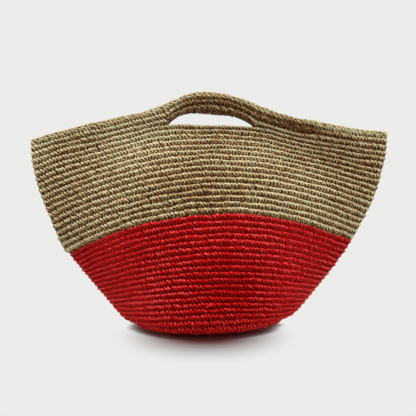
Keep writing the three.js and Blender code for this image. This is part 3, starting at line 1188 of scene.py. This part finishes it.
def make_handle_half(number, face, half, start, end):
    """Half of a handle's stretch of a rim round, from its foot to its crown."""
    crochet = rim_span(SLIT_ROUND + number, start, end, True)
    name = f"{face}_handle_crochet_{number}_{half}"
    node = f"{face}_handle_round_{number}"
    piece = make_piece(name, crochet, natural, None, [node])
    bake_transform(piece)


def make_rim_round(number):
    """A rim round: two stretches round the side folds, and each handle in two halves."""
    turn = SLIT_ROUND + number
    front_right = way_at(turn, SLIT_HALF_WIDTH, FRONT)
    front_left = way_at(turn, -SLIT_HALF_WIDTH, FRONT)
    rear_right = way_at(turn, SLIT_HALF_WIDTH, REAR)
    rear_left = way_at(turn, -SLIT_HALF_WIDTH, REAR)
    make_rim_side(number, "right", front_right, rear_right)
    make_rim_side(number, "left", rear_left, front_left + WHOLE_WAY)
    make_handle_half(number, "front", "right", FRONT, front_right)
    make_handle_half(number, "front", "left", front_left, FRONT)
    make_handle_half(number, "rear", "right", rear_right, REAR)
    make_handle_half(number, "rear", "left", REAR, rear_left)


# The photo's camera stands at this place, in metres, and looks down by this angle, in degrees.
CAMERA_PLACE = (-0.001, -1.2, 0.23)
CAMERA_ANGLE = 3.56
CAMERA_LENS = 79.9
SENSOR_WIDTH = 36
CLIP_END = 100


def make_camera():
    data = bpy.data.cameras.new("photo_camera")
    data.sensor_width = SENSOR_WIDTH
    data.lens = CAMERA_LENS
    data.clip_end = CLIP_END
    camera = bpy.data.objects.new("photo_camera", data)
    camera.location = CAMERA_PLACE
    camera.rotation_euler = (math.radians(90 - CAMERA_ANGLE), 0, 0)
    bpy.context.scene.collection.objects.link(camera)
    bpy.context.scene.camera = camera


# The floor reaches this many metres to each side.
FLOOR_REACH = 30
BACKGROUND = srgb(236, 236, 234)
PAPER_COLOUR = (0.59, 0.59, 0.582)
PAPER_ROUGHNESS = 0.6
PAPER_SPECULAR = 0.2

# The painted shadow that deepens the bag's soft shadow, and the painted red light from the bag,
# reach this far over the paper, in millimetres.
SHADOW_REACH = 200
SHADOW_POWER = 6.5
RED_LIGHT = (0.34, 0.09, 0.085)
RED_LIGHT_POWER = 1.7

# The paper fades into the background round an oval, from NEAR to FAR of its middle, in
# millimetres that SCALE makes shorter or longer in x and y. At the base's edge it doesn't fade.
SHADOW_MIDDLE = (-4, -52)
SHADOW_SCALE = (1.14, 0.74, 1)
SHADOW_NEAR = 28
SHADOW_FAR = 134
EDGE_SHADOW_REACH = 11
EDGE_SHADOW_POWER = 3.0


def floor_colour(tree):
    """White paper. Seen directly, it deepens the bag's soft shadow with painted shadow. Where the
    bag covers it, it has the bag's red light painted on it.
    """
    openness = tree.openness(SHADOW_REACH)
    # Seen directly, the paper gets painted shadow where the bag covers it.
    power = tree.calculate("MULTIPLY", SHADOW_POWER, tree.seen_directly())
    paper = tree.scale(PAPER_COLOUR, tree.calculate("POWER", openness, power))
    # Painted red light, reflected from the bag onto the paper it covers.
    covered = tree.calculate("SUBTRACT", 1.0, openness)
    red_light = tree.scale(RED_LIGHT, tree.calculate("POWER", covered, RED_LIGHT_POWER))
    return tree.calculate_vector("ADD", paper, red_light)


def floor_fade(tree):
    """0 where the shadow is kept, 1 where only the background shows."""
    middle = (SHADOW_MIDDLE[0] * MM, SHADOW_MIDDLE[1] * MM, 0)
    offset = tree.calculate_vector("SUBTRACT", tree.place_on_object(), middle)
    scaled = tree.calculate_vector("MULTIPLY", offset, SHADOW_SCALE)
    length = tree.add("ShaderNodeVectorMath", {0: scaled}, operation="LENGTH")
    oval = (SHADOW_NEAR * MM, SHADOW_FAR * MM)
    fade = tree.map_range(length.outputs["Value"], oval, steepness="SMOOTHSTEP")
    beside_base = tree.openness(EDGE_SHADOW_REACH)
    uncovered = tree.calculate("POWER", beside_base, EDGE_SHADOW_POWER)
    open_fade = tree.calculate("MULTIPLY", fade, uncovered)
    return tree.calculate("MULTIPLY", open_fade, tree.seen_directly())


def make_floor_material():
    """Pale paper that keeps the shadow near the bag and fades into the background round it."""
    material = bpy.data.materials.new("floor_paper")
    tree = Tree(material)
    shader = tree.nodes["Principled BSDF"]
    tree.feed(shader.inputs["Base Color"], floor_colour(tree))
    tree.feed(shader.inputs["Roughness"], PAPER_ROUGHNESS)
    tree.feed(shader.inputs["Specular IOR Level"], PAPER_SPECULAR)
    background = tree.add("ShaderNodeEmission", {"Color": (*BACKGROUND, 1)})
    inputs = {0: floor_fade(tree), 1: shader.outputs[0], 2: background.outputs[0]}
    mix = tree.add("ShaderNodeMixShader", inputs)
    tree.feed(tree.nodes["Material Output"].inputs["Surface"], mix.outputs[0])
    return material


def make_floor():
    mesh = bpy.data.meshes.new("floor")
    corners = [(-1, -1), (1, -1), (1, 1), (-1, 1)]
    places = [(x * FLOOR_REACH, y * FLOOR_REACH, 0) for x, y in corners]
    mesh.from_pydata(places, [], [(0, 1, 2, 3)])
    floor = bpy.data.objects.new("floor", mesh)
    bpy.context.scene.collection.objects.link(floor)
    mesh.materials.append(make_floor_material())


def make_sun(name, energy, spread, tilt, turn):
    """Even light from one side of the sky. tilt is 0 overhead and 90 from the front, and turn
    swings it round to the right."""
    data = bpy.data.lights.new(name, "SUN")
    data.energy = energy
    data.angle = math.radians(spread)
    sun = bpy.data.objects.new(name, data)
    sun.rotation_euler = (math.radians(tilt), 0, math.radians(turn))
    bpy.context.scene.collection.objects.link(sun)


ROOM_LIGHT = 0.1


def make_world():
    """A white room that lights the bag a little. Seen directly, it is the plain background."""
    world = bpy.data.worlds.new("studio")
    bpy.context.scene.world = world
    tree = Tree(world)
    room = tree.nodes["Background"]
    tree.feed(room.inputs["Color"], (1, 1, 1, 1))
    tree.feed(room.inputs["Strength"], ROOM_LIGHT)
    wall = tree.add("ShaderNodeBackground", {"Color": (*BACKGROUND, 1)})
    inputs = {0: tree.seen_directly(), 1: room.outputs[0], 2: wall.outputs[0]}
    mix = tree.add("ShaderNodeMixShader", inputs)
    tree.feed(tree.nodes["World Output"].inputs["Surface"], mix.outputs[0])


make_camera()
make_base()
for count in range(1, RED_ROUNDS + 1):
    make_wall_round(count, "red", count, red)
for count in range(1, NATURAL_ROUNDS + 1):
    make_wall_round(RED_ROUNDS + count, "natural", count, natural)
for count in range(1, RIM_ROUNDS + 1):
    make_rim_round(count)
make_floor()
make_sun("top_softbox", energy=4.0, spread=50, tilt=7, turn=8)
make_sun("left_softbox", energy=1.7, spread=40, tilt=72, turn=-74)
make_sun("right_softbox", energy=1.7, spread=40, tilt=72, turn=76)
make_sun("rear_softbox", energy=0.35, spread=50, tilt=-32, turn=0)
make_world()

bpy.context.scene.view_settings.view_transform = "Standard"
